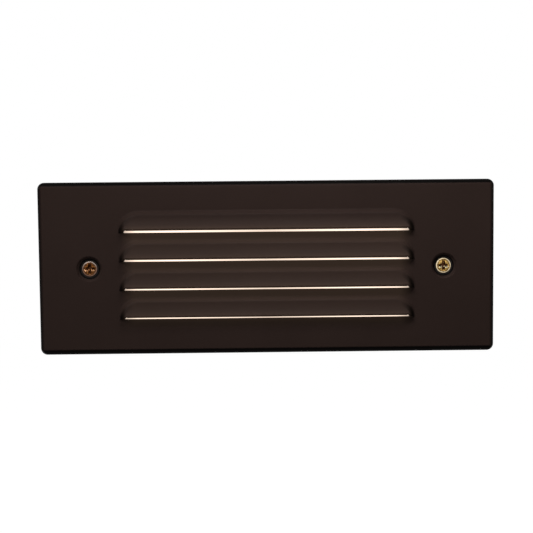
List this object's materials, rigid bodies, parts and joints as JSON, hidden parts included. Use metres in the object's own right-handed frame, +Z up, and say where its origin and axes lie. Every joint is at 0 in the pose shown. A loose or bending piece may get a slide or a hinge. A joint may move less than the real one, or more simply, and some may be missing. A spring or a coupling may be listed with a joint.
{
  "type": "recessed louvered step light",
  "caption": "Recessed step light: a louvered bronze faceplate with a frosted lens over a cast wall box with wedge lamps, throwing light down onto a stair tread.",
  "frame": {"origin": "centre of the wall plane, where the back face of the box flange meets the wall", "axes": "+X along the faceplate to the viewer's right, +Y into the wall, +Z up"},
  "size_m": [0.235, 0.081, 0.0888],
  "materials": {
    "bronze_powder_coat": "satin powder coat",
    "screw_brass": "turned, lightly tarnished",
    "black_rubber": "moulded",
    "frosted_glass": "etched, lit from behind",
    "spring_steel": "rolled, bright",
    "zinc_plate": "bright zinc",
    "cast_aluminium": "as cast",
    "reflector_aluminium": "semi-bright",
    "holder_black": "moulded phenolic",
    "contact_brass": "stamped leaf",
    "clear_glass": "blown, clear",
    "lamp_wire": "drawn nickel wire",
    "terminal_white": "moulded polyamide",
    "lead_black": "extruded insulation",
    "lead_white": "extruded insulation",
    "copper": "stranded, bare",
    "ground_green": "green dye over steel"
  },
  "bodies": {
    "housing": {"back_box": "cast_aluminium", "conduit_plug": "zinc_plate", "reflector": "reflector_aluminium", "socket_bracket": "zinc_plate", "bracket_screws": "zinc_plate", "socket_rivets": "zinc_plate", "terminal_block": "terminal_white", "terminal_clamps": "contact_brass", "terminal_clamp_screws": "zinc_plate", "terminal_block_screw": "zinc_plate", "ground_screw": "ground_green", "lead_copper_ends": "copper", "lampholder_left": "holder_black", "lampholder_contacts_left": "contact_brass", "grommet_left": "black_rubber", "lead_upper_left": "lead_black", "lead_lower_left": "lead_white", "lampholder_right": "holder_black", "lampholder_contacts_right": "contact_brass", "grommet_right": "black_rubber", "lead_upper_right": "lead_black", "lead_lower_right": "lead_white"},
    "faceplate": {"faceplate": "bronze_powder_coat", "faceplate_gasket": "black_rubber", "lens": "frosted_glass", "lens_gasket": "black_rubber", "lens_clips": "spring_steel", "lens_clip_studs": "zinc_plate", "lens_clip_nuts": "zinc_plate"},
    "screw_seal_left": {"screw_seal_left": "black_rubber"},
    "screw_left": {"faceplate_screw_left": "screw_brass"},
    "lamp_left": {"lamp_bulb_left": "clear_glass", "lamp_base_left": "clear_glass", "lamp_wires_left": "lamp_wire", "lamp_filament_left": "lamp_wire"},
    "screw_seal_right": {"screw_seal_right": "black_rubber"},
    "screw_right": {"faceplate_screw_right": "screw_brass"},
    "lamp_right": {"lamp_bulb_right": "clear_glass", "lamp_base_right": "clear_glass", "lamp_wires_right": "lamp_wire", "lamp_filament_right": "lamp_wire"}
  },
  "joints": [
    {"name": "faceplate_lift_off", "type": "slide", "parent": "housing", "child": "faceplate", "axis": [0, -1, 0], "range_m": [0, 0.06]},
    {"name": "screw_advance_left", "type": "slide", "parent": "faceplate", "child": "screw_seal_left", "axis": [0, -1, 0], "range_m": [0, 0.01588]},
    {"name": "screw_turn_left", "type": "hinge", "parent": "screw_seal_left", "child": "screw_left", "pos_m": [-0.0913, 0, 0], "axis": [0, -1, 0], "range_deg": [0, 7200]},
    {"name": "lamp_pull_left", "type": "slide", "parent": "housing", "child": "lamp_left", "axis": [-1, 0, 0], "range_m": [0, 0.01]},
    {"name": "screw_advance_right", "type": "slide", "parent": "faceplate", "child": "screw_seal_right", "axis": [0, -1, 0], "range_m": [0, 0.01588]},
    {"name": "screw_turn_right", "type": "hinge", "parent": "screw_seal_right", "child": "screw_right", "pos_m": [0.0913, 0, 0], "axis": [0, -1, 0], "range_deg": [0, 7200]},
    {"name": "lamp_pull_right", "type": "slide", "parent": "housing", "child": "lamp_right", "axis": [1, 0, 0], "range_m": [0, 0.01]}
  ],
  "couplings": [
    {"joint": "screw_turn_left", "follows": "screw_advance_left", "rad_per_m": 7915.8},
    {"joint": "screw_turn_right", "follows": "screw_advance_right", "rad_per_m": 7915.8}
  ]
}
